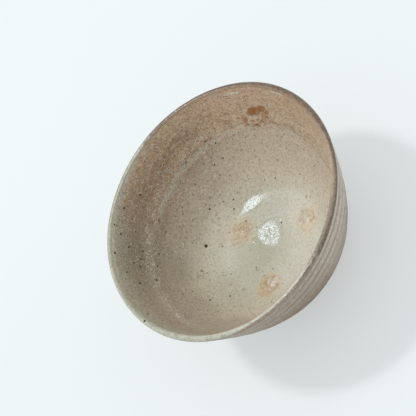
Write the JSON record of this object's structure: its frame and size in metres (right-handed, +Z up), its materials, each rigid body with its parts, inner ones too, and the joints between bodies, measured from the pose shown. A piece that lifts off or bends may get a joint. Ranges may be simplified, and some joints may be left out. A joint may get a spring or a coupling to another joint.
{
  "type": "tea bowl",
  "caption": "Round stoneware tea bowl with a flared, wheel-thrown wall, a rounded lip, a shallow well in its floor and a low foot ring, for holding and drinking tea.",
  "frame": {"origin": "middle of the foot, on the table", "axes": "+Z up, out of the bowl's mouth along its axis; -Y towards the viewer of the picture"},
  "size_m": [0.14, 0.14, 0.07],
  "materials": {
    "clay": "bare fired stoneware, matt and a little gritty, with turning marks",
    "inner_glaze": "satin grey-beige feldspar glaze with pits, iron specks and warm blushes",
    "outer_glaze": "satin grey-brown glaze, paler on the hollows between the finger ridges",
    "lip_glaze": "pale grey-green glaze that thins to dark brown along part of the lip",
    "glaze_pool": "glossy pale grey-green pooled glaze",
    "wad_clay": "rough pale wad clay with an orange flush at its edge"
  },
  "bodies": {
    "root": {"clay_body": "clay", "foot_ring": "clay", "inner_glaze": "inner_glaze", "outer_glaze": "outer_glaze", "lip_glaze": "lip_glaze", "glaze_pool": "glaze_pool", "wad_scar_1": "wad_clay", "wad_scar_2": "wad_clay", "wad_scar_3": "wad_clay"}
  },
  "joints": []
}
